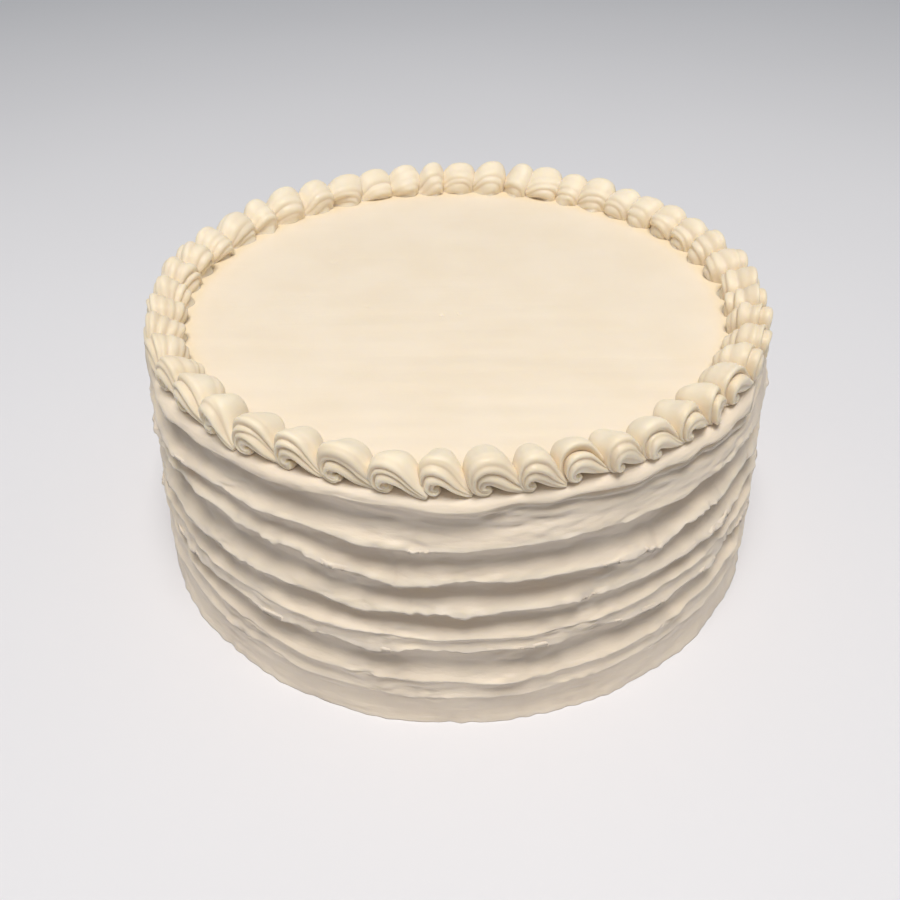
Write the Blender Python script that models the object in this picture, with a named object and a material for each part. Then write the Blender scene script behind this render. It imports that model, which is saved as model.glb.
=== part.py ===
"""Vanilla cake: a round iced cake with torn ridges round its side and a piped shell border on top.

The frosted body is one solid, turned about +Z from a ridged profile that changes slowly round the cake.
Each piped shell of the border is a solid of its own, resting a hair above the flat top.
Metres, +Z up, with the origin at the centre of the flat base.
"""

import math
import random

import bpy

MM = 0.001

# Driving dimensions of the frosted body
BASE_RADIUS = 102.0 * MM
TOP_RADIUS = 95.0 * MM
TOP_HEIGHT = 76.7 * MM
FLAT_TOP_RADIUS = 92.6 * MM
CHANNEL_DEPTH = 3.7 * MM
BODY_COLUMNS = 72

# Driving dimensions of the shell border. The lean is (share of the mean pitch, widest place in degrees).
SHELL_COUNT = 48
SHELL_HEIGHT = 9.6 * MM
SHELL_INNER_RADIUS = 82.0 * MM
SHELL_OUTER_RADIUS = 94.0 * MM
SHELL_GAP = 0.3 * MM
FIRST_SHELL_DEG = -148.8
STRAND_DEPTH = 0.15
PITCH_SPREAD = 0.16
PITCH_LEAN = (0.03, 20.0)
HEIGHT_SPREAD = (0.93, 1.04)
PITCH_SEED = 26029
HEIGHT_SEED = 5

# Each torn lip, from the top: its mean height, how deep the hollow above it is as a share of the channel
# depth, and the waves that make it wander, as (cycles round the cake, rise, crest in degrees).
RIDGES = (
    (63.8 * MM, 0.9, ((1, 0.2 * MM, 70.0), (8, 0.5 * MM, 11.0))),
    (53.6 * MM, 1.0, ((1, 1.2 * MM, -170.0), (2, 1.2 * MM, 30.0), (3, 0.9 * MM, -30.0), (8, 0.8 * MM, 6.0))),
    (43.0 * MM, 1.0, ((1, 0.6 * MM, 65.0), (2, 0.3 * MM, 0.0), (3, 0.4 * MM, -5.0), (8, 0.3 * MM, 3.0))),
    (33.6 * MM, 0.95, ((1, 0.6 * MM, 5.0), (2, 0.7 * MM, -30.0), (3, 0.5 * MM, -30.0), (5, 0.6 * MM, 34.0))),
    (29.4 * MM, 0.2, ((1, 0.6 * MM, 5.0), (2, 0.5 * MM, -30.0), (5, 0.3 * MM, 34.0))),
    (20.0 * MM, 0.9, ((1, 0.5 * MM, 55.0), (2, 1.5 * MM, -5.0), (3, 1.7 * MM, -30.0), (5, 0.9 * MM, -27.0))),
    (12.0 * MM, 0.3, ((1, 0.3 * MM, -65.0), (2, 0.4 * MM, -15.0), (3, 0.7 * MM, -35.0), (5, 0.3 * MM, 20.0))),
)
BASE_HOLLOW = 0.45

# One band from a lip down, as (drop below that lip, share of the band's depth): an undercut and its hollow
UNDERCUT = ((0.9 * MM, 0.65), (2.8 * MM, 1.0))
# The slope back out above the next lip, as (rise above that lip, share of the band's depth)
SLOPE = ((4.8 * MM, 0.92), (1.8 * MM, 0.34))
# A band narrower than this has its undercut and slope squeezed to fit
BAND_ROOM = 9.5 * MM

# The rounded shoulder under the border, as (radius inside the outline, drop below the top)
SHOULDER = (
    (0.9 * MM, 0.5 * MM),
    (0.0 * MM, 2.0 * MM),
)
# The hollow under the shoulder: its drop below the top, and its depth as a share of the first lip's hollow
# at its shallowest place, which is at this many degrees round the cake
SHOULDER_HOLLOW_DROP = 4.2 * MM
SHALLOWEST_SHARE = 0.4
SHALLOWEST_AT = -20.0

FROSTING_COLOUR = (0.87, 0.78, 0.63, 1.0)
PIPED_COLOUR = (0.88, 0.79, 0.62, 1.0)
FROSTING_ROUGHNESS = 0.48


def new_material(name, colour, roughness):
    material = bpy.data.materials.new(name)
    material.use_nodes = True
    shader = material.node_tree.nodes["Principled BSDF"]
    shader.inputs["Base Color"].default_value = colour
    shader.inputs["Roughness"].default_value = roughness
    shader.inputs["Metallic"].default_value = 0.0
    return material


def add_solid(name, points, faces, material, collection):
    mesh = bpy.data.meshes.new(name)
    mesh.from_pydata(points, [], faces)
    mesh.validate()
    mesh.materials.append(material)
    mesh.shade_smooth()
    mesh.set_sharp_from_angle(angle=math.radians(40.0))
    solid = bpy.data.objects.new(name, mesh)
    collection.objects.link(solid)
    return solid


def ring_faces(rings, size):
    """Quads between neighbouring rings of the same size, and one flat face over each end."""
    faces = []
    for ring in range(rings - 1):
        low = ring * size
        high = low + size
        for k in range(size):
            after = (k + 1) % size
            faces.append((low + k, low + after, high + after, high + k))
    first = tuple(reversed(range(size)))
    last = tuple(range((rings - 1) * size, rings * size))
    return faces + [first, last]


def ridge_height(ridge, angle):
    """Height of a ridge's lip at an angle round the cake: its mean height plus its waves."""
    mean, _, waves = ridge
    return mean + sum(
        rise * math.cos(cycles * (angle - math.radians(crest)))
        for cycles, rise, crest in waves
    )


def outline_radius(height):
    """Radius of the body's outline, which tapers evenly from the base to the top."""
    share = height / TOP_HEIGHT
    return BASE_RADIUS + (TOP_RADIUS - BASE_RADIUS) * share


def slope_rows(lip, depth, squeeze):
    """(radius, height) of the slope that leads out of a hollow to the lip below it, from its top down."""
    rows = []
    for rise, inset in SLOPE:
        height = lip + rise * squeeze
        rows.append((outline_radius(height) - inset * depth, height))
    return rows


def band_rows(lip, next_lip, share):
    """(radius, height) from one lip down to just above the next: undercut, hollow and slope back out."""
    depth = share * CHANNEL_DEPTH
    rows = [(outline_radius(lip), lip)]
    squeeze = min(1.0, (lip - next_lip) / BAND_ROOM)
    for drop, inset in UNDERCUT:
        height = lip - drop * squeeze
        rows.append((outline_radius(height) - inset * depth, height))
    return rows + slope_rows(next_lip, depth, squeeze)


def shoulder_rows(lip, share, angle):
    """(radius, height) from the flat top's edge over the shoulder and its hollow to above the first lip.

    The hollow is deepest opposite its shallowest place, and changes evenly between the two.
    """
    rows = [(FLAT_TOP_RADIUS, TOP_HEIGHT)]
    for inset, drop in SHOULDER:
        height = TOP_HEIGHT - drop
        rows.append((outline_radius(height) - inset, height))
    away = 0.5 - 0.5 * math.cos(angle - math.radians(SHALLOWEST_AT))
    depth = share * CHANNEL_DEPTH * (SHALLOWEST_SHARE + (1.0 - SHALLOWEST_SHARE) * away)
    height = TOP_HEIGHT - SHOULDER_HOLLOW_DROP
    rows.append((outline_radius(height) - depth, height))
    return rows + slope_rows(lip, depth, 1.0)


def body_profile(angle):
    """(radius, height) points down the side at one angle, from the flat top's edge to the base."""
    lips = [ridge_height(ridge, angle) for ridge in RIDGES]
    rows = shoulder_rows(lips[0], RIDGES[0][1], angle)
    hollows = [share for _, share, _ in RIDGES[1:]] + [BASE_HOLLOW]
    for lip, next_lip, share in zip(lips, lips[1:] + [0.0], hollows):
        rows.extend(band_rows(lip, next_lip, share))
    rows.append((BASE_RADIUS, 0.0))
    return rows


def make_body(material, collection):
    profiles = []
    for column in range(BODY_COLUMNS):
        angle = math.tau * column / BODY_COLUMNS
        profiles.append((angle, body_profile(angle)))
    rows = len(profiles[0][1])
    points = []
    for row in reversed(range(rows)):
        for angle, profile in profiles:
            radius, height = profile[row]
            points.append((radius * math.cos(angle), radius * math.sin(angle), height))
    faces = ring_faces(rows, BODY_COLUMNS)
    return add_solid("frosted_cake", points, faces, material, collection)


# One shell from its head to its tail, as (share of its sector, share of full size, tail's drift outwards)
SHELL_STATIONS = (
    (0.00, 0.52, 0.00),
    (0.07, 0.80, 0.00),
    (0.20, 0.97, 0.00),
    (0.40, 1.00, 0.08),
    (0.62, 0.84, 0.30),
    (0.82, 0.64, 0.60),
    (1.00, 0.42, 0.90),
)
SHELL_ARC_POINTS = 10
FOOT_WIDTH = 0.8
SPRING_HEIGHT = 0.12
ARC_FULLNESS = 0.8
TAIL_SWEEP = 0.55
TAIL_DRIFT = 2.6 * MM


def shell_section(share, size, drift, height_scale):
    """(radius, height) points of one cross-section: a flat foot and an arc of alternate strands and grooves.

    The strands crowd towards the outer side as the share along the shell grows, which twists them.
    """
    middle = 0.5 * (SHELL_OUTER_RADIUS + SHELL_INNER_RADIUS) + drift * TAIL_DRIFT
    half_width = 0.5 * (SHELL_OUTER_RADIUS - SHELL_INNER_RADIUS) * size
    half_width = min(half_width, SHELL_OUTER_RADIUS - middle)
    height = SHELL_HEIGHT * size * height_scale
    foot = TOP_HEIGHT + SHELL_GAP
    crowd = 1.0 + TAIL_SWEEP * share
    half_foot = FOOT_WIDTH * half_width
    section = [(middle + half_foot, foot), (middle - half_foot, foot)]
    for k in reversed(range(SHELL_ARC_POINTS)):
        turn = (0.5 + k) / SHELL_ARC_POINTS
        angle = math.pi * turn**crowd
        reach = 1.0 if k % 2 else 1.0 - STRAND_DEPTH
        across = math.cos(angle) * half_width * reach
        arch = SPRING_HEIGHT + (1.0 - SPRING_HEIGHT) * math.sin(angle) ** ARC_FULLNESS
        section.append((middle + across, foot + arch * height * reach))
    return section


def shell_sectors():
    """Start and end angle of each shell's sector, uneven by a seeded draw and leaning larger on one side."""
    draw = random.Random(PITCH_SEED)
    lean, widest = PITCH_LEAN
    widths = []
    for index in range(SHELL_COUNT):
        turn = math.tau * index / SHELL_COUNT - math.radians(widest)
        widths.append(1.0 + lean * math.cos(turn) + draw.uniform(-PITCH_SPREAD, PITCH_SPREAD))
    unit = math.tau / sum(widths)
    start = math.radians(FIRST_SHELL_DEG) - 0.5 * widths[0] * unit
    sectors = []
    for width in widths:
        sectors.append((start, start + width * unit))
        start += width * unit
    return sectors


def make_shell(name, sector, height_scale, material, collection):
    margin = 0.5 * SHELL_GAP / SHELL_INNER_RADIUS
    start = sector[0] + margin
    end = sector[1] - margin
    points = []
    for share, size, drift in SHELL_STATIONS:
        angle = start + (end - start) * share
        for radius, height in shell_section(share, size, drift, height_scale):
            points.append((radius * math.cos(angle), radius * math.sin(angle), height))
    faces = ring_faces(len(SHELL_STATIONS), SHELL_ARC_POINTS + 2)
    return add_solid(name, points, faces, material, collection)


def make_border(material, collection):
    draw = random.Random(HEIGHT_SEED)
    for number, sector in enumerate(shell_sectors(), start=1):
        height_scale = draw.uniform(*HEIGHT_SPREAD)
        make_shell(f"piped_shell_{number:02d}", sector, height_scale, material, collection)


def main():
    for old in list(bpy.data.objects):
        bpy.data.objects.remove(old)
    cake = bpy.data.collections.new("vanilla_cake")
    bpy.context.scene.collection.children.link(cake)
    frosting = new_material("frosting", FROSTING_COLOUR, FROSTING_ROUGHNESS)
    piped = new_material("piped_frosting", PIPED_COLOUR, FROSTING_ROUGHNESS)
    make_body(frosting, cake)
    make_border(piped, cake)


main()
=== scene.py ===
"""Vanilla cake, the looks: buttercream spread round the side in torn ridges, a smooth top and a piped border.

Lengths in the tables are in millimetres. Angles run counter-clockwise from +X, and the photographed side
is -Y.
"""

import math

import bpy
import numpy as np
from mathutils import Matrix


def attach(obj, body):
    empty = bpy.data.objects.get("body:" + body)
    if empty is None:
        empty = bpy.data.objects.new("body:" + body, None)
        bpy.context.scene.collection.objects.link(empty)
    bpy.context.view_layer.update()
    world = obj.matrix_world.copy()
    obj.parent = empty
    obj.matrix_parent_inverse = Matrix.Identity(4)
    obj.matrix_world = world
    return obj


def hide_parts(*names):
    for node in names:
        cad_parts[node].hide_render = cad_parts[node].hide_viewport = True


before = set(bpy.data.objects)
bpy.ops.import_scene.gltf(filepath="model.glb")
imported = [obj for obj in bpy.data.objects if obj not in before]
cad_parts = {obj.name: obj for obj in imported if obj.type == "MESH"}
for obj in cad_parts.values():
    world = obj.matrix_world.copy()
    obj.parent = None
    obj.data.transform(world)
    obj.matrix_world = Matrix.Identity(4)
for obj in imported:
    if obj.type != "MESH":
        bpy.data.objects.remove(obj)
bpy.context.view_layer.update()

MM = 0.001


# Sizes that come from the frame

def node_points(node):
    """All the points of one of the frame's solids, as an array of x, y, z in metres."""
    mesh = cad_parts[node].data
    points = np.empty(len(mesh.vertices) * 3)
    mesh.vertices.foreach_get("co", points)
    return points.reshape(-1, 3)


BODY_POINTS = node_points("frosted_cake")
BODY_RADII = np.hypot(BODY_POINTS[:, 0], BODY_POINTS[:, 1])
TOP_HEIGHT = BODY_POINTS[:, 2].max()
BASE_RADIUS = BODY_RADII.max()
RIM_RADIUS = BODY_RADII[BODY_POINTS[:, 2] > TOP_HEIGHT - 0.01 * MM].max()
TOP_TAPER = 7.0 * MM
SHELL_NODES = sorted(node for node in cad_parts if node.startswith("piped_shell"))


# Seeded unevenness: each use has a seed of its own, so that no two run alike

def ripple(angle, height, seed, cycles, rises, count=20):
    """Smooth unevenness with a spread of 1: a sum of cosines with seeded phases.

    Each cosine has a whole number of cycles round the cake, drawn between the two given, and a number
    of waves for each metre of height, drawn between plus and minus the one given.
    """
    draw = np.random.default_rng(seed)
    total = np.zeros(np.broadcast(angle, height).shape)
    for _ in range(count):
        turns = draw.integers(cycles[0], cycles[1] + 1)
        rise = draw.uniform(-rises, rises)
        total += np.cos(turns * angle + math.tau * rise * height + draw.uniform(0.0, math.tau))
    return total * math.sqrt(2.0 / count)


def degrees_past(angle, degrees):
    """How far an angle in radians lies past one in degrees, from -180 to 180 degrees."""
    return (np.degrees(angle) - degrees + 180.0) % 360.0 - 180.0


def cusps(angle, places):
    """Pointed bumps round the cake.

    Each place is (degrees, size in mm, half width in degrees), and a bump falls off on both sides by a power
    of e for each half width.
    """
    total = np.zeros_like(angle)
    for degrees, size, width in places:
        away = np.abs(degrees_past(angle, degrees))
        total += size * MM * np.exp(-away / width)
    return total


def scattered(seed, count, sizes, widths, clear=(-160.0, -20.0)):
    """Places for cusps drawn all round the cake, but none within the clear stretch of degrees."""
    draw = np.random.default_rng(seed)
    places = []
    for _ in range(count):
        degrees = draw.uniform(clear[1], clear[0] + 360.0)
        places.append((degrees, draw.uniform(*sizes), draw.uniform(*widths)))
    return places


def smooth_step(value, low, high):
    """0 below low, 1 above high, and an S-shaped rise between."""
    share = np.clip((value - low) / (high - low), 0.0, 1.0)
    return share * share * (3.0 - 2.0 * share)


# Meshes from grids

def grid_faces(rows, columns):
    """Quads of a grid whose columns close into a ring, as an array of four point numbers each."""
    low = (np.arange(rows - 1)[:, None] * columns) + np.arange(columns)[None, :]
    after = np.roll(low, -1, axis=1)
    return np.stack([low, after, after + columns, low + columns], axis=-1).reshape(-1, 4)


def tube_piece(name, points, material, values, poles):
    """A closed mesh from a grid of points whose columns close into a ring, with a fan to a pole at each end.

    points has the shape (rows, columns, 3), and poles are the first and the last end point. values gives
    each point attribute by name, with one number for each grid point, and a pole takes the mean of the row
    beside it.
    """
    rows, columns = points.shape[:2]
    count = rows * columns
    quads = grid_faces(rows, columns).tolist()
    ring = np.arange(columns)
    after = np.roll(ring, -1)
    first = np.stack([after, ring, np.full(columns, count)], axis=-1).tolist()
    top = ring + count - columns
    last = np.stack([top, np.roll(top, -1), np.full(columns, count + 1)], axis=-1).tolist()
    mesh = bpy.data.meshes.new(name)
    everything = np.concatenate([points.reshape(-1, 3), np.asarray(poles)])
    mesh.from_pydata(everything, [], quads + first + last)
    for label, grid in values.items():
        ends = [grid[0].mean(), grid[-1].mean()]
        attribute = mesh.attributes.new(label, "FLOAT", "POINT")
        attribute.data.foreach_set("value", np.concatenate([grid.ravel(), ends]).astype(np.float32))
    mesh.shade_smooth()
    mesh.materials.append(material)
    piece = bpy.data.objects.new(name, mesh)
    bpy.context.scene.collection.objects.link(piece)
    return piece


# Buttercream

def new_material(name):
    """A material with only its output and one Principled shader."""
    material = bpy.data.materials.new(name)
    material.use_nodes = True
    return material, material.node_tree, material.node_tree.nodes["Principled BSDF"]


def noise(tree, stretch, scale, detail):
    """Noise on the object's own coordinates, which stretch gives a grain along one direction."""
    place = tree.nodes.new("ShaderNodeTexCoord")
    mapping = tree.nodes.new("ShaderNodeMapping")
    mapping.inputs["Scale"].default_value = stretch
    texture = tree.nodes.new("ShaderNodeTexNoise")
    texture.inputs["Scale"].default_value = scale
    texture.inputs["Detail"].default_value = detail
    tree.links.new(place.outputs["Object"], mapping.inputs["Vector"])
    tree.links.new(mapping.outputs["Vector"], texture.inputs["Vector"])
    return texture.outputs["Fac"]


def blend_colours(tree, share, low, high):
    """A mix of two colours, or of a colour and another mix, by a share."""
    mix = tree.nodes.new("ShaderNodeMix")
    mix.data_type = "RGBA"
    tree.links.new(share, mix.inputs["Factor"])
    for socket, colour in ((mix.inputs["A"], low), (mix.inputs["B"], high)):
        if isinstance(colour, tuple):
            socket.default_value = (*colour, 1.0)
        else:
            tree.links.new(colour, socket)
    return mix.outputs["Result"]


def mapped(tree, value, low, high, to_low, to_high):
    """A value brought from one range to another, held at its ends."""
    node = tree.nodes.new("ShaderNodeMapRange")
    for name, number in (("From Min", low), ("From Max", high), ("To Min", to_low), ("To Max", to_high)):
        node.inputs[name].default_value = number
    tree.links.new(value, node.inputs["Value"])
    return node.outputs["Result"]


def add_bump(tree, height, distance, strength, under=None):
    """A normal tilted by a height pattern, on top of another bump if one is given."""
    bump = tree.nodes.new("ShaderNodeBump")
    bump.inputs["Distance"].default_value = distance
    bump.inputs["Strength"].default_value = strength
    tree.links.new(height, bump.inputs["Height"])
    if under is not None:
        tree.links.new(under, bump.inputs["Normal"])
    return bump.outputs["Normal"]


def buttercream(name, pale, deep, painted_crevice_shade, grain, grain_depth, glow):
    """Cream frosting.

    It has pale and deep patches, a darker colour painted in as the shade of hollows and grooves where a point
    attribute marks them, warmer on the top and the border, drag lines along the grain and fine pores, and
    light goes a millimetre or two into it.
    """
    material, tree, shader = new_material(name)
    patches = mapped(tree, noise(tree, (1.0, 1.0, 1.0), 55.0, 3.0), 0.35, 0.65, 0.0, 1.0)
    colour = blend_colours(tree, patches, pale, deep)
    # Painted shade: a point attribute marks the hollows, the grooves and the top's edge, and mixes the
    # crevice colour in there.
    painted_hollow_shade = tree.nodes.new("ShaderNodeAttribute")
    painted_hollow_shade.attribute_name = "painted_hollow_shade"
    colour = blend_colours(tree, painted_hollow_shade.outputs["Fac"], colour, painted_crevice_shade)
    tree.links.new(colour, shader.inputs["Base Color"])
    gloss = mapped(tree, noise(tree, grain, 420.0, 2.0), 0.3, 0.7, 0.40, 0.56)
    tree.links.new(gloss, shader.inputs["Roughness"])
    lines = add_bump(tree, noise(tree, grain, 460.0, 6.0), grain_depth, 0.85)
    pores = add_bump(tree, noise(tree, (1.0, 1.0, 1.0), 2600.0, 3.0), 0.05 * MM, 0.35, lines)
    tree.links.new(pores, shader.inputs["Normal"])
    shader.inputs["Specular IOR Level"].default_value = 0.42
    shader.inputs["Subsurface Weight"].default_value = glow
    shader.inputs["Subsurface Radius"].default_value = (1.0, 0.93, 0.55)
    shader.inputs["Subsurface Scale"].default_value = 1.5 * MM
    return material


# Each cream's crevice colour is painted shade for its hollows and grooves, not a colour of the cream itself.
SPREAD_CREAM = buttercream(
    "spread_buttercream",
    pale=(0.90, 0.78, 0.64),
    deep=(0.875, 0.75, 0.61),
    painted_crevice_shade=(0.82, 0.715, 0.60),
    grain=(0.2, 0.2, 1.0),
    grain_depth=0.6 * MM,
    glow=0.25,
)
TOP_CREAM = buttercream(
    "smoothed_buttercream",
    pale=(0.90, 0.78, 0.635),
    deep=(0.88, 0.755, 0.60),
    painted_crevice_shade=(0.84, 0.70, 0.46),
    grain=(0.12, 1.0, 1.0),
    grain_depth=0.06 * MM,
    glow=0.25,
)
# Painted light: the piped cream is the same buttercream made paler, so that the border comes out as bright as
# the top.
PIPED_CREAM = buttercream(
    "piped_buttercream",
    pale=(0.955, 0.832, 0.672),
    deep=(0.935, 0.807, 0.638),
    painted_crevice_shade=(0.83, 0.70, 0.52),
    grain=(1.0, 1.0, 1.0),
    grain_depth=0.04 * MM,
    glow=0.55,
)


# The side, spread in torn ridges

SIDE_COLUMNS = 1120

# Each torn lip from the top: its mean height; the depth of the hollow below it, as a share of the full one;
# how quickly it is undercut, in mm; how ragged its edge is; its drips as in cusps; and the waves that make
# it wander, as (cycles round the cake, rise, crest in degrees).
LIPS = (
    (63.8, 0.95, 0.8, 0.9, ((-98.0, 1.3, 3.0), (-66.0, 0.8, 2.0), (-55.0, 0.9, 2.5), (-118.0, 0.5, 1.5)),
     ((1, 0.2, 70.0), (8, 0.5, 11.0))),
    (53.9, 1.0, 0.7, 1.2, ((-101.0, 1.8, 2.6), (-59.0, 2.1, 2.5), (-44.0, 1.0, 2.0), (-128.0, 0.8, 1.0)),
     ((1, 1.2, -170.0), (2, 1.2, 30.0), (3, 0.9, -30.0), (8, 0.8, 6.0))),
    (43.1, 0.95, 0.8, 1.1, ((-106.0, 1.0, 2.4), (-99.0, 0.5, 1.5), (-131.0, 0.8, 1.5)),
     ((1, 0.6, 65.0), (2, 0.3, 0.0), (3, 0.4, -5.0), (8, 0.3, 3.0))),
    (33.6, 0.28, 1.3, 0.5, ((-95.0, 0.6, 3.0), (-66.0, 0.5, 2.0)),
     ((1, 0.6, 5.0), (2, 0.7, -30.0), (3, 0.5, -30.0), (5, 0.6, 34.0))),
    (29.4, 0.85, 1.5, 1.2, ((-104.0, 0.8, 2.0), (-57.0, 0.9, 2.0), (-90.0, 0.5, 1.0)),
     ((1, 0.6, 5.0), (2, 0.5, -30.0), (5, 0.3, 34.0))),
    (19.6, 0.34, 2.4, 0.4, ((-88.0, 0.4, 3.0),),
     ((1, 0.5, 55.0), (2, 1.5, -5.0), (3, 1.7, -30.0), (5, 0.9, -27.0))),
    (12.0, 0.24, 2.0, 0.6, ((-98.0, 0.6, 2.0), (-78.0, 0.7, 2.0)),
     ((1, 0.3, -65.0), (2, 0.4, -15.0), (3, 0.7, -35.0), (5, 0.3, 20.0))),
)

# The bands below the lips: their rows, the height of one that is as deep as the hollows get, and that depth
BAND_ROWS = (20, 19, 18, 9, 20, 13, 22)
BAND_ROOM = 10.0 * MM
HOLLOW_DEPTH = 3.9 * MM

# The lips: the least gap between two, the room that one needs to be worked in full, how far its edge flares
# and droops, and how far its underside is tucked in
LIP_GAP = 2.4 * MM
LIP_ROOM = 6.0 * MM
LIP_FLARE = 0.25 * MM
LIP_DROOP = 0.85 * MM
LIP_TUCK = 0.25 * MM

# The shoulder: its rows, where it starts under the border, how wide its rounded edge is, how far its foot is
# set in, and how deep the scoop on the left and the swell and the two grooves on the right are
SHOULDER_ROWS = 40
SHOULDER_START_RADIUS = 84.0 * MM
SHOULDER_WIDTH = 2.2 * MM
SHOULDER_INSET = 0.35 * MM
SCOOP_DEPTH = 4.3 * MM
SWELL_DEPTH = 1.1 * MM
UPPER_GROOVE_DEPTH = 2.5 * MM
LOWER_GROOVE_DEPTH = 1.5 * MM

# The rows that close the pieces of the side, how high the foot is ragged, and how far its base spreads
INSIDE_RADIUS = 60.0 * MM
FOOT_HEIGHT = 5.0 * MM
BASE_SPREAD = 0.2 * MM

# Loose flakes that stand a little proud, as (degrees, height in mm, half length in degrees, stand in mm)
FRONT_FLAKES = (
    (-113.0, 29.6, 3.5, 0.5),
    (-103.0, 27.6, 5.0, 0.6),
    (-97.0, 30.6, 3.0, 0.4),
    (-84.0, 28.2, 5.0, 0.7),
    (-76.0, 30.2, 3.5, 0.5),
    (-58.0, 29.0, 3.0, 0.6),
    (-103.0, 12.9, 3.0, 0.6),
    (-96.0, 11.6, 2.5, 0.5),
    (-88.0, 13.6, 4.0, 0.4),
    (-72.0, 12.2, 4.0, 0.5),
    (-122.0, 15.2, 3.0, 0.4),
    (-130.0, 47.2, 3.0, 0.4),
    (-117.0, 49.4, 2.5, 0.35),
)


def outline_radius(height):
    """The side's outline, which tapers evenly from the base to the top."""
    return BASE_RADIUS - TOP_TAPER * height / TOP_HEIGHT


def lip_lines(angle):
    """Height of each lip round the cake, in metres.

    It is the lip's mean and its waves, less its drips, and it keeps the gap to the lip above.
    """
    lines = []
    for number, (mean, _, _, _, drips, waves) in enumerate(LIPS):
        line = np.full_like(angle, mean * MM)
        for cycles, rise, crest in waves:
            line += rise * MM * np.cos(cycles * (angle - math.radians(crest)))
        line += 0.12 * MM * ripple(angle, 0.0, 40 + number, (10, 30), 0.0)
        line -= cusps(angle, drips)
        line -= cusps(angle, scattered(80 + number, 9, (0.4, 1.6), (1.2, 3.0)))
        if lines:
            line = np.minimum(line, lines[-1] - LIP_GAP)
        lines.append(line)
    return lines


def crowded(rows):
    """Shares from 0 up to 1 that crowd towards both ends, for the rows of a band or of the shoulder."""
    even = np.arange(rows) / rows
    return even - 0.11 * np.sin(math.tau * even)


def cove(above, reach=3.7):
    """Share of the full depth at a height in mm above a lip.

    It is steepest just over the lip's rounded edge and eases off until it is full at the given reach, as
    1 - (1 - rise / reach) ** 1.7. Beyond that it leans back out by a fortieth for each mm, so that the wall
    above looks down.
    """
    rise = above**2 / (above + 0.5)
    flare = 1.0 - np.clip(1.0 - rise / reach, 0.0, 1.0) ** 1.7
    return flare * (1.0 - np.clip(above - reach, 0.0, 8.0) / 40.0)


def undercut_share(drop, quickness):
    """Share of the full depth at a drop in mm below a lip, 1 - exp(-(drop / quickness) ** 1.15)."""
    return 1.0 - np.exp(-((np.maximum(drop, 0.0) / quickness) ** 1.15))


def shoulder_band(angle, lip):
    """Rows from under the border to just above the first lip: flat rim, rounded edge, channel and cove.

    The rounded edge is a quarter of an ellipse whose height, the corner, varies round the cake. The channel
    is scooped deep and wide on the left, and is two narrow grooves close under the edge on the right, where
    the wall below them is set back by a swell. Lumps hang down from the edge here and there.
    """
    right = smooth_step(0.5 * (1.0 + np.cos(angle - math.radians(-20.0))), 0.45, 0.98)
    wander = MM * ripple(angle, 0.0, 21, (4, 16), 0.0)
    lumps = np.exp(-(((np.degrees(angle) - 227.0) / 6.0) ** 2))
    lumps += 0.35 * ripple(angle, 0.0, 22, (14, 44), 0.0)
    corner_radius = RIM_RADIUS - SHOULDER_WIDTH
    corner = np.clip(2.6 * MM + 0.3 * wander + 0.8 * MM * lumps, 1.2 * MM, 4.4 * MM)
    edge_radius = outline_radius(TOP_HEIGHT - corner) - SHOULDER_INSET + 0.3 * wander + 0.25 * MM * lumps
    rows = []
    for radius in np.linspace(SHOULDER_START_RADIUS, corner_radius, 5):
        rows.append((np.full_like(angle, radius), np.full_like(angle, TOP_HEIGHT)))
    for turn in np.radians(np.linspace(10.0, 90.0, 9)):
        radius = corner_radius + (edge_radius - corner_radius) * math.sin(turn)
        height = TOP_HEIGHT - corner * (1.0 - math.cos(turn))
        rows.append((radius, height))
    start = rows[-1][1]
    for share in crowded(SHOULDER_ROWS - len(rows) + 1)[1:]:
        height = start + (lip - start) * share
        drop = (start - height) / MM
        above = (height - lip) / MM
        scoop = SCOOP_DEPTH * (1.0 - right) * undercut_share(drop, 1.7) * cove(above, 4.8)
        groove = right * UPPER_GROOVE_DEPTH * np.exp(-(((drop - 1.1) / 0.95) ** 2))
        groove += right * LOWER_GROOVE_DEPTH * np.exp(-(((drop - 3.7 - 0.6 * wander / MM) / 0.7) ** 2))
        swell = right * SWELL_DEPTH * undercut_share(drop, 1.0) * cove(above, 9.0)
        radius = outline_radius(height) - scoop - groove - swell - SHOULDER_INSET * np.exp(-drop / 0.9)
        rows.append((radius, height))
    return rows


def band(angle, upper, lower, share, undercut, count):
    """Rows from one lip down to just above the next.

    The depth below the outline grows from nothing at the lip with the undercut, and follows the cove above
    the next lip back to nothing. A narrow band is squeezed, in height and less so in depth.
    """
    rows = []
    squeeze = np.clip((upper - lower) / BAND_ROOM, 0.35, 1.1)
    for place in crowded(count):
        height = upper + (lower - upper) * place
        drop = (upper - height) / MM / squeeze
        above = (height - lower) / MM / squeeze
        depth = share * squeeze**0.6 * HOLLOW_DEPTH * undercut_share(drop, undercut) * cove(above)
        rows.append((outline_radius(height) - depth, height))
    return rows


def side_rows(angle, lips, below):
    """Radius and height of every row of the side, from under the border to the base, and each lip's row.

    below holds what lies under each lip: the next lip, or the base.
    """
    rows = shoulder_band(angle, lips[0])
    lip_rows = []
    for number, (upper, lower) in enumerate(zip(lips, below)):
        lip_rows.append(len(rows))
        _, share, undercut, _, _, _ = LIPS[number]
        share = share * np.clip(1.0 + 0.22 * ripple(angle, 0.0, 140 + number, (3, 16), 0.0), 0.4, 1.5)
        rows.extend(band(angle, upper, lower, share, undercut, BAND_ROWS[number]))
    radius = np.array([row[0] for row in rows])
    height = np.array([row[1] for row in rows])
    return radius, height, lip_rows


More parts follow.
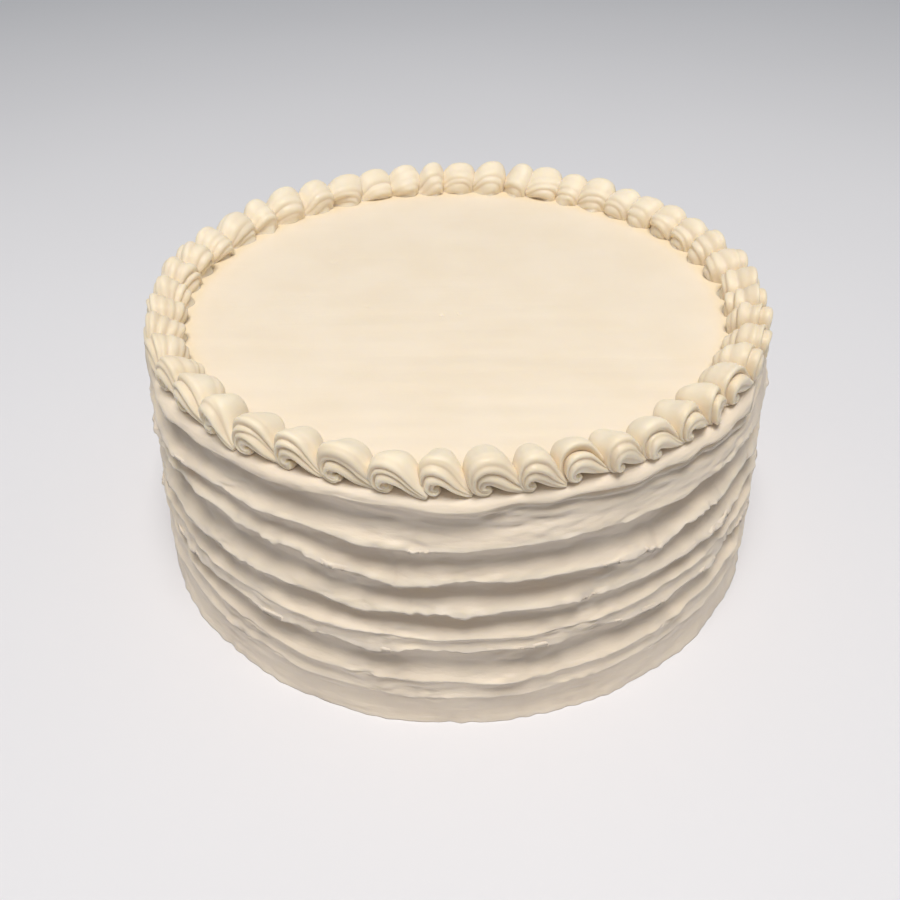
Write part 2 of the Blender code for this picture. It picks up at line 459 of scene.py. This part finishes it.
def tear_edges(angle, radius, height, lip_rows, lips, below):
    """Works the torn lips into the rows, in place.

    The rows down to each lip droop and flare, which fades within 2 mm above it, and a fine raggedness that
    comes and goes shifts the rows on both sides of it. A lip with less than the full room below it is worked
    less.
    """
    for number, (row, lip) in enumerate(zip(lip_rows, lips)):
        ragged = LIPS[number][3] * np.clip((lip - below[number]) / LIP_ROOM, 0.2, 1.0)
        away = np.abs(height - lip) / MM
        near = np.exp(-away / 0.7)
        down_to_lip = np.exp(-away / 0.9)
        down_to_lip[row + 1:] = 0.0
        torn = ragged * np.clip(0.5 + 0.7 * ripple(angle, 0.0, 20 + number, (3, 13), 0.0), 0.06, 1.5)
        edge = 0.075 * MM * torn * ripple(angle, 0.0, 60 + number, (60, 220), 0.0, 60)
        edge += 0.18 * MM * torn * ripple(angle, 0.0, 70 + number, (20, 80), 0.0, 30)
        grain = 0.08 * MM * torn * ripple(angle, 0.0, 100 + number, (50, 240), 0.0, 60)
        uneven = np.clip(ripple(angle, 0.0, 120 + number, (6, 26), 0.0), -1.6, 1.6)
        height += near * edge - down_to_lip * LIP_DROOP * ragged * (1.0 + 0.4 * uneven)
        radius += near * grain + down_to_lip * LIP_FLARE * ragged * (1.1 + 0.6 * uneven)
        tuck_under(radius, height, row)


def tuck_under(radius, height, row):
    """Keeps the underside of a drooping lip inside it, in place.

    Where one of the next rows is higher than the lip's own row, it stays a tuck inside the straight line from
    the lip to the row above it.
    """
    for under in (row + 1, row + 2, row + 3):
        share = (height[under] - height[row]) / (height[row - 1] - height[row])
        face = radius[row] + (radius[row - 1] - radius[row]) * np.clip(share, 0.0, 1.0)
        tucked = np.minimum(radius[under], face - LIP_TUCK)
        radius[under] = np.where(share > 0.0, tucked, radius[under])


def loose_flakes(angle, height):
    """How far flakes stand out.

    Each is sharp along its lower edge, fades upwards over about a millimetre, and tapers away at both ends.
    """
    draw = np.random.default_rng(9)
    flakes = list(FRONT_FLAKES)
    for _ in range(34):
        degrees = draw.uniform(-20.0, 200.0)
        level = draw.choice([10.5, 13.0, 27.5, 29.5, 48.0]) + draw.uniform(-1.5, 1.5)
        flakes.append((degrees, level, draw.uniform(2.0, 6.0), draw.uniform(0.3, 0.7)))
    total = np.zeros(height.shape)
    for degrees, level, reach, stand in flakes:
        away = degrees_past(angle, degrees) / reach
        edge = level * MM + 0.5 * MM * away
        edge += 0.25 * MM * ripple(angle, 0.0, int(level * 10), (40, 150), 0.0)
        above = (height - edge) / MM
        lift = smooth_step(above, -0.55, 0.2) * np.exp(-np.maximum(above, 0.0) / 1.1)
        total += stand * MM * np.clip(1.0 - away**2, 0.0, 1.0) * lift
    return total


def knife_marks(angle, height):
    """How far the spread surface stands in or out.

    There are broad waves, ripples, and fine streaks along the bands that are stronger in some patches than in
    others. They are fainter below the lowest lip, and fade out at the top's edge and at the base.
    """
    total = 0.30 * ripple(angle, height, 1, (2, 8), 12.0)
    total += 0.10 * ripple(angle, height, 2, (8, 40), 60.0, 40)
    rough = np.clip(1.0 + 0.5 * ripple(angle, height, 5, (4, 18), 60.0), 0.2, 2.2)
    for size, seed, cycles, rises, count in (
        (0.06, 6, (2, 16), 230.0, 40),
        (0.16, 3, (3, 30), 420.0, 60),
        (0.11, 4, (10, 90), 800.0, 80),
    ):
        total += size * rough * ripple(angle, height, seed, cycles, rises, count)
    fade = smooth_step(TOP_HEIGHT - height, 0.3 * MM, 4.0 * MM) * smooth_step(height, 0.0, 3.0 * MM)
    fade *= 0.55 + 0.45 * smooth_step(height, 8.0 * MM, 18.0 * MM)
    return fade * MM * total


def side_piece(name, angle, radius, height, depth):
    """Part of the side from its first row down to its last, closed by a row well inside at each end.

    The row inside the first stays below the slab of the top.
    """
    inside = np.full((1, len(angle)), INSIDE_RADIUS)
    first = np.full_like(inside, min(height[0].mean(), TOP_HEIGHT - 8.0 * MM))
    last = np.full_like(inside, height[-1].mean())
    radius = np.concatenate([inside, radius, inside])
    height = np.concatenate([first, height, last])
    depth = np.concatenate([depth[:1], depth, depth[-1:]])
    points = np.stack([radius * np.cos(angle), radius * np.sin(angle), height], axis=-1)[::-1]
    poles = ((0.0, 0.0, height[-1, 0]), (0.0, 0.0, height[0, 0]))
    # Painted shade: the crevice colour, at up to four fifths, as deep as the side lies in its hollows.
    side = tube_piece(name, points, SPREAD_CREAM, {"painted_hollow_shade": depth[::-1] * 0.8}, poles)
    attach(side, "root")
    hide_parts("frosted_cake")


def make_side():
    """The side in two closed pieces, parted in the shade under the third lip, on a slightly ragged foot."""
    angle = np.arange(SIDE_COLUMNS) * math.tau / SIDE_COLUMNS
    lips = lip_lines(angle)
    below = lips[1:] + [np.zeros_like(angle)]
    radius, height, lip_rows = side_rows(angle, lips, below)
    # How deep each point lies in a hollow, as a share of the full depth, which sets the painted shade there.
    depth = np.clip((outline_radius(height) - radius) / HOLLOW_DEPTH, 0.0, 1.0)
    radius += knife_marks(angle, height) + loose_flakes(angle, height)
    tear_edges(angle, radius, height, lip_rows, lips, below)
    foot = 1.0 - smooth_step(height, 0.0, FOOT_HEIGHT)
    ragged_foot = 0.22 * ripple(angle, 0.0, 31, (4, 20), 0.0)
    ragged_foot += 0.12 * ripple(angle, 0.0, 32, (30, 140), 0.0, 40)
    radius += foot * MM * (ragged_foot - 0.3)
    bottom_radius = radius[-1] + BASE_SPREAD
    radius = np.concatenate([radius, [bottom_radius, bottom_radius * 0.97]])
    height = np.concatenate([height, np.zeros((2, SIDE_COLUMNS))])
    depth = np.concatenate([depth, np.zeros((2, SIDE_COLUMNS))])
    cut = lip_rows[2] + 2
    side_piece("frosting_upper_side", angle, radius[:cut + 1], height[:cut + 1], depth[:cut + 1])
    side_piece("frosting_lower_side", angle, radius[cut:], height[cut:], depth[cut:])


# The top, smoothed with a knife

# The top's slab, how far it stands over the rim, and where its edge takes painted shade, the crevice colour,
# at the foot of the border
TOP_PIECE_RADIUS = 88.0 * MM
TOP_PIECE_THICKNESS = 5.0 * MM
TOP_LIFT = 0.12 * MM
TOP_SHADE_RADII = (78.0 * MM, 84.0 * MM)
TOP_RINGS = 170
TOP_COLUMNS = 420

STROKES = 26
STROKE_HEIGHT = 0.055 * MM

# Small marks in the top, as (x, y, radius, depth) in mm; a negative depth stands up
TOP_MARKS = (
    (-4.7, -10.8, 0.55, 0.5),
    (0.4, -10.2, 0.45, 0.4),
    (-40.0, 26.0, 1.6, 0.25),
    (-40.6, 27.2, 1.0, -0.2),
    (-46.5, 3.5, 0.7, 0.2),
    (-27.7, -4.6, 0.6, 0.25),
)


def knife_strokes(x, y):
    """Height of the faint strokes: a sum of cosines that run from side to side, stronger in front."""
    draw = np.random.default_rng(7)
    total = np.zeros_like(x)
    for _ in range(STROKES):
        across = draw.uniform(25.0, 150.0)
        along = draw.uniform(-14.0, 14.0)
        total += np.cos(math.tau * (along * x + across * y) + draw.uniform(0.0, math.tau))
    front = 0.35 + 0.65 * smooth_step(-y, -20.0 * MM, 45.0 * MM)
    return STROKE_HEIGHT * front * total * math.sqrt(2.0 / STROKES)


def make_top():
    """A thin closed slab.

    Its upper face is a disc of rings whose height is the strokes less the small marks, each of which falls
    off as exp(-(away / size) ** 2), and it turns down at the edge, under the border.
    """
    angle = np.arange(TOP_COLUMNS) * math.tau / TOP_COLUMNS
    reach = TOP_PIECE_RADIUS * (np.arange(TOP_RINGS) + 1) / TOP_RINGS
    x = reach[:, None] * np.cos(angle)
    y = reach[:, None] * np.sin(angle)
    z = TOP_HEIGHT + TOP_LIFT + knife_strokes(x, y)
    for mark_x, mark_y, size, deep in TOP_MARKS:
        away = ((x / MM - mark_x) ** 2 + (y / MM - mark_y) ** 2) / size**2
        z -= deep * MM * np.exp(-away)
    z -= 0.5 * MM * smooth_step(reach[:, None], TOP_PIECE_RADIUS - 2.0 * MM, TOP_PIECE_RADIUS)
    # Painted shade at the foot of the border: the crevice colour, at up to six tenths, from 78 mm out to 84
    # mm.
    rim = smooth_step(reach[:, None], *TOP_SHADE_RADII) * np.ones_like(x)
    under = TOP_HEIGHT - TOP_PIECE_THICKNESS
    x = np.concatenate([x, x[-1:], x[-1:] * 0.5])
    y = np.concatenate([y, y[-1:], y[-1:] * 0.5])
    z = np.concatenate([z, np.full((2, TOP_COLUMNS), under)])
    rim = np.concatenate([rim, np.zeros((2, TOP_COLUMNS))])
    points = np.stack([x, y, z], axis=-1)[::-1]
    poles = ((0.0, 0.0, under), (0.0, 0.0, TOP_HEIGHT + TOP_LIFT))
    top = tube_piece("frosting_top", points, TOP_CREAM, {"painted_hollow_shade": rim[::-1] * 0.6}, poles)
    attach(top, "root")
    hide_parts("frosted_cake")


# The piped shell border

SHELL_ROWS = 70
SHELL_COLUMNS = 88
SHELL_SEED = 200

# The border's mean pitch and height, the radius of its middle line, and how far along its sector a shell's
# eye is
MEAN_PITCH = 11.5 * MM
MEAN_HEIGHT = 9.6 * MM
SHELL_MIDDLE_RADIUS = 88.0 * MM
EYE_SHARE = 0.44

# One shell from the curl under its eye, round its head, to the tip of its tail. Each section stands on a
# pivot and leans round it, as (degrees, where 0 is ahead along the border, 90 upright, 180 behind and more
# than that under the eye; how far the pivot has moved along the border; the pivot's height on the outer
# side; the section's reach from the pivot; its half width; how far out its middle is).
SHELL_SECTIONS = (
    (305.0, 0.6, 1.9, 1.2, 1.0, 3.7),
    (266.0, 0.3, 1.9, 2.3, 1.9, 3.4),
    (232.0, 0.1, 1.9, 3.0, 2.6, 2.9),
    (204.0, 0.0, 1.9, 3.6, 3.3, 2.5),
    (176.0, 0.0, 1.9, 4.6, 4.6, 1.5),
    (148.0, 0.1, 1.8, 5.9, 5.6, 0.6),
    (121.0, 0.3, 1.6, 7.7, 6.2, 0.1),
    (98.0, 0.9, 1.3, 8.2, 6.3, -0.1),
    (82.0, 2.2, 0.7, 7.9, 5.9, 0.2),
    (73.0, 3.8, 0.2, 6.3, 4.9, 1.0),
    (68.0, 5.5, -0.1, 4.4, 3.5, 2.0),
    (66.0, 7.3, -0.3, 2.8, 2.3, 2.9),
    (65.0, 9.0, -0.4, 1.4, 1.2, 3.5),
)

# The grooves between the strands, as (degrees round the section from its top towards the outside, depth as a
# share of the section's size, width in degrees)
OUTER_GROOVES = ((28.0, 0.08, 15.0), (58.0, 0.22, 12.0), (88.0, 0.21, 10.0), (118.0, 0.16, 9.0))
INNER_GROOVES = ((0.0, 0.10, 14.0), (-38.0, 0.17, 13.0), (-74.0, 0.17, 12.0), (-110.0, 0.10, 11.0))


def curve_through(knots, shares):
    """A smooth curve through points at even steps (Catmull-Rom), read at shares from 0 to 1."""
    knots = np.asarray(knots, float)
    padded = np.concatenate([2 * knots[:1] - knots[1:2], knots, 2 * knots[-1:] - knots[-2:-1]])
    place = np.clip(shares * (len(knots) - 1), 0.0, len(knots) - 1 - 1e-9)
    step = place.astype(int)
    t = (place - step)[:, None]
    before, here, there, beyond = (padded[step + k] for k in range(4))
    return 0.5 * (
        2.0 * here
        + (there - before) * t
        + (2.0 * before - 5.0 * here + 4.0 * there - beyond) * t**2
        + (3.0 * here - before - 3.0 * there + beyond) * t**3
    )


def groove_depths(turn, shares, draw, back, right, beside):
    """How far the grooves go in at each turn of each section, as a share of its size.

    A groove falls off on both sides as exp(-(away / width) ** 1.35). It wanders with the twist along the
    shell, and its place, depth and width differ a little from shell to shell.

    back, right and beside are shares that say how far behind, on the right and out at the sides of the cake
    the shell is. The outer grooves are fainter at the back, and the inner ones are hardly there in front. On
    the right the second groove is deeper and parts the dome from the strands outside it, and at the sides
    the first is deeper.
    """
    total = np.zeros((len(shares), len(turn)))
    twist = draw.uniform(-14.0, 24.0)
    shift = draw.uniform(-10.0, 10.0) - 10.0 * right
    outer = 1.0 - 0.4 * back
    inner = 0.12 + 0.88 * max(0.6 * back, beside)
    for strength, grooves in ((outer, OUTER_GROOVES), (inner, INNER_GROOVES)):
        if grooves is INNER_GROOVES:
            twist = twist - back * draw.uniform(40.0, 120.0)
        for number, (degrees, depth, width) in enumerate(grooves):
            at = degrees + shift + draw.uniform(-6.0, 6.0) + twist * (shares - 0.45)
            at = at + 5.0 * np.sin(math.tau * shares * draw.uniform(0.7, 1.5) + draw.uniform(0.0, math.tau))
            away = np.abs(degrees_past(turn[None, :], at[:, None]))
            width = width * draw.uniform(0.8, 1.25)
            deeper = 1.0 + right * (0.75 if number == 1 else -0.3) + beside * (1.2 if number == 0 else 0.1)
            total += deeper * strength * depth * draw.uniform(0.65, 1.35) * np.exp(-((away / width) ** 1.35))
    return total


def shell_points(sector, height_scale, back, right, beside, seed):
    """Sections that fan round an eye on the outer side and then run out along the border into a tail.

    The point at a turn of a section is its pivot plus half * (1 + cos(turn)) in the direction that the
    section leans, and width * sin(turn) outwards from its middle, squared off in the lower half. The grooves
    draw it towards the section's own middle, and a slight unevenness moves it in or out. The pivot lies under
    the top on the inner side and at the eye on the outer side. Low down the section spreads a little, so that
    its foot runs into the top, and what would hang far under the top is pressed flat. Shells at the back are
    a little longer and vary more.
    """
    draw = np.random.default_rng(seed)
    start, end = sector
    middle_angle = start + EYE_SHARE * (end - start)
    pitch = (end - start) * SHELL_MIDDLE_RADIUS
    length_scale = (pitch / MEAN_PITCH) ** 0.8 * (1.0 + 0.15 * back)
    length_scale *= 1.0 + (0.08 + 0.06 * back) * draw.uniform(-1.0, 1.0)
    height_scale = height_scale * (1.0 + 0.07 * back * draw.uniform(-1.0, 0.6))
    heading = math.radians(draw.uniform(-7.0, 8.0) * (1.0 + 0.6 * back))
    shares = np.linspace(0.0, 1.0, SHELL_ROWS)
    shares = shares - 0.03 * np.sin(math.tau * shares)
    sections = curve_through(SHELL_SECTIONS, shares)
    lean = np.radians(sections[:, 0] + draw.uniform(-8.0, 8.0) * np.sin(math.pi * shares))[:, None]
    pivot_along = sections[:, 1:2]
    half = 0.5 * np.maximum(sections[:, 3:4], 0.8) * draw.uniform(0.95, 1.05)
    width = np.maximum(sections[:, 4:5], 0.6) * draw.uniform(0.92, 1.04)
    middle = sections[:, 5:6] * (1.0 - 0.6 * back * smooth_step(shares, 0.4, 0.8)[:, None])
    middle += draw.uniform(-0.4, 0.4) + draw.uniform(-1.3, 0.3) * shares[:, None] ** 2
    turn = np.arange(SHELL_COLUMNS) * math.tau / SHELL_COLUMNS
    outer = np.sin(turn) > 0.0
    low = np.cos(turn) < 0.0
    fullness = np.where(outer, draw.uniform(0.6, 0.95), 0.45)
    across = np.sign(np.sin(turn)) * np.abs(np.sin(turn)) ** np.where(low, fullness, 1.0)
    grooves = groove_depths(turn, shares, draw, back, right, beside)
    uneven = (0.05 + 0.02 * back) * ripple(turn[None, :], shares[:, None], seed + 500, (1, 4), 1.6, 12)
    keep = 1.0 - grooves * smooth_step(shares, 0.0, 0.12)[:, None] + uneven
    rise = half * (1.0 + np.cos(turn)[None, :] * keep)
    outside = middle + width * across[None, :] * keep
    pivot = -1.0 + (sections[:, 2:3] + 1.0) * smooth_step(outside, -3.0, 4.5)
    along = pivot_along + rise * np.cos(lean)
    height = pivot + rise * np.sin(lean)
    height *= height_scale * MEAN_HEIGHT / MM / height.max()
    foot = np.exp(-np.maximum(height, 0.0) / 0.7)
    outside -= np.where(outer[None, :], 0.0, 0.9) * foot
    height = np.maximum(height, -1.2 + 0.1 * height)
    forward = (along * math.cos(heading) - outside * math.sin(heading)) * length_scale * MM
    outside = (along * math.sin(heading) + outside * math.cos(heading)) * MM
    radius = SHELL_MIDDLE_RADIUS + outside
    angle = middle_angle + forward / SHELL_MIDDLE_RADIUS
    points = np.stack([radius * np.cos(angle), radius * np.sin(angle), TOP_HEIGHT + height * MM], axis=-1)
    # The grooves also come back as a share from 0 to 1 that sets the painted shade in them.
    return points, np.clip(grooves / 0.17, 0.0, 1.0)


def make_shells():
    """One closed piece for each shell of the frame, in the same sector of the border and as high."""
    for number, node in enumerate(SHELL_NODES):
        cloud = node_points(node)
        angles = np.arctan2(cloud[:, 1], cloud[:, 0])
        middle = math.atan2(np.sin(angles).mean(), np.cos(angles).mean())
        spread = (angles - middle + math.pi) % math.tau - math.pi
        sector = (middle + spread.min(), middle + spread.max())
        height_scale = (cloud[:, 2].max() - TOP_HEIGHT) / MEAN_HEIGHT
        back = smooth_step(math.sin(middle), -0.35, 0.35)
        right = (1.0 - back) * smooth_step(math.cos(middle), 0.0, 0.3)
        beside = smooth_step(abs(math.cos(middle)), 0.72, 0.95)
        points, groove = shell_points(sector, height_scale, back, right, beside, SHELL_SEED + number)
        poles = (points[0].mean(axis=0), points[-1].mean(axis=0))
        name = node.replace("piped_shell", "piped_swirl")
        # Painted shade in the grooves: the crevice colour, at up to 0.85 in front and 0.45 at the back.
        swirl = tube_piece(name, points, PIPED_CREAM, {"painted_hollow_shade": groove * (0.85 - 0.4 * back)}, poles)
        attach(swirl, "root")
        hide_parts(node)


make_side()
make_top()
make_shells()


# Floor, light and camera

FLOOR_HALF_WIDTH = 4.0
FLOOR_COOL = (0.80, 0.79, 0.83)
FLOOR_PALE = (0.82, 0.81, 0.85)

# The lamp: its place and the point that it faces, in metres, its width, its power in watts and its colour
LAMP_PLACE = (0.0, -0.31, 1.34)
LAMP_AIM = (0.0, 0.0, 0.05)
LAMP_SIZE = 0.55
LAMP_POWER = 14.5
LAMP_COLOUR = (1.0, 0.968, 0.91)

SKY_COLOUR = (0.88, 0.95, 1.0, 1.0)


def make_floor():
    """A pale floor that the cake stands on, wide enough to fill the view."""
    half = FLOOR_HALF_WIDTH
    mesh = bpy.data.meshes.new("floor")
    corners = [(-half, -half, 0.0), (half, -half, 0.0), (half, half, 0.0), (-half, half, 0.0)]
    mesh.from_pydata(corners, [], [(0, 1, 2, 3)])
    material, tree, shader = new_material("floor_paint")
    shade = mapped(tree, noise(tree, (1.0, 1.0, 1.0), 3.0, 2.0), 0.3, 0.7, 0.0, 1.0)
    paint = blend_colours(tree, shade, FLOOR_COOL, FLOOR_PALE)
    tree.links.new(paint, shader.inputs["Base Color"])
    shader.inputs["Roughness"].default_value = 0.8
    mesh.materials.append(material)
    floor = bpy.data.objects.new("floor", mesh)
    bpy.context.scene.collection.objects.link(floor)


def placed(place, right, up, behind):
    """The matrix of something at a place whose own x, y and z run right, up and behind."""
    rows = [(*row, 0.0) for row in np.stack([right, up, behind], axis=-1)]
    return Matrix.Translation(place) @ Matrix(rows + [(0.0, 0.0, 0.0, 1.0)])


def hang_lamp():
    """One large square lamp over the cake, turned towards it."""
    lamp = bpy.data.lights.new("overhead", "AREA")
    lamp.shape = "SQUARE"
    lamp.size = LAMP_SIZE
    lamp.energy = LAMP_POWER
    lamp.color = LAMP_COLOUR
    holder = bpy.data.objects.new("overhead", lamp)
    bpy.context.scene.collection.objects.link(holder)
    away = np.asarray(LAMP_PLACE) - np.asarray(LAMP_AIM)
    away /= np.linalg.norm(away)
    right = np.cross((0.0, 1.0, 0.0), away)
    right /= np.linalg.norm(right)
    holder.matrix_world = placed(LAMP_PLACE, right, np.cross(away, right), away)


def light_sky():
    """A sky that is dark at the horizon and brightest overhead."""
    world = bpy.data.worlds.new("room")
    world.use_nodes = True
    tree = world.node_tree
    sky = tree.nodes["Background"]
    sky.inputs["Color"].default_value = SKY_COLOUR
    direction = tree.nodes.new("ShaderNodeTexCoord")
    split = tree.nodes.new("ShaderNodeSeparateXYZ")
    tree.links.new(direction.outputs["Generated"], split.inputs["Vector"])
    strength = mapped(tree, split.outputs["Z"], 0.10, 0.85, 0.08, 0.36)
    tree.links.new(strength, sky.inputs["Strength"])
    bpy.context.scene.world = world
    bpy.context.scene.view_settings.view_transform = "Standard"


# The photograph's camera, from its vanishing geometry: place, focal length, and turns in degrees
CAMERA_PLACE = (-0.0069, -0.2362, 0.2069)
FOCAL_SHARE = 844.5 / 900.0
SENSOR_WIDTH = 36.0
LOOK_DOWN = 39.06
LOOK_RIGHT = 1.085
CAMERA_ROLL = -0.645


def make_camera():
    """The photograph's camera: turned right, tilted down, and then rolled about its own view."""
    down = math.radians(LOOK_DOWN)
    right_turn = math.radians(LOOK_RIGHT)
    roll = math.radians(CAMERA_ROLL)
    ahead = np.array([
        math.sin(right_turn) * math.cos(down),
        math.cos(right_turn) * math.cos(down),
        -math.sin(down),
    ])
    level = np.cross(ahead, (0.0, 0.0, 1.0))
    level /= np.linalg.norm(level)
    upright = np.cross(level, ahead)
    right = level * math.cos(roll) + upright * math.sin(roll)
    up = upright * math.cos(roll) - level * math.sin(roll)
    lens = bpy.data.cameras.new("photo_camera")
    lens.sensor_width = SENSOR_WIDTH
    lens.lens = FOCAL_SHARE * SENSOR_WIDTH
    lens.clip_start = 0.01
    camera = bpy.data.objects.new("photo_camera", lens)
    camera.matrix_world = placed(CAMERA_PLACE, right, up, -ahead)
    bpy.context.scene.collection.objects.link(camera)
    bpy.context.scene.camera = camera


make_floor()
hang_lamp()
light_sky()
make_camera()
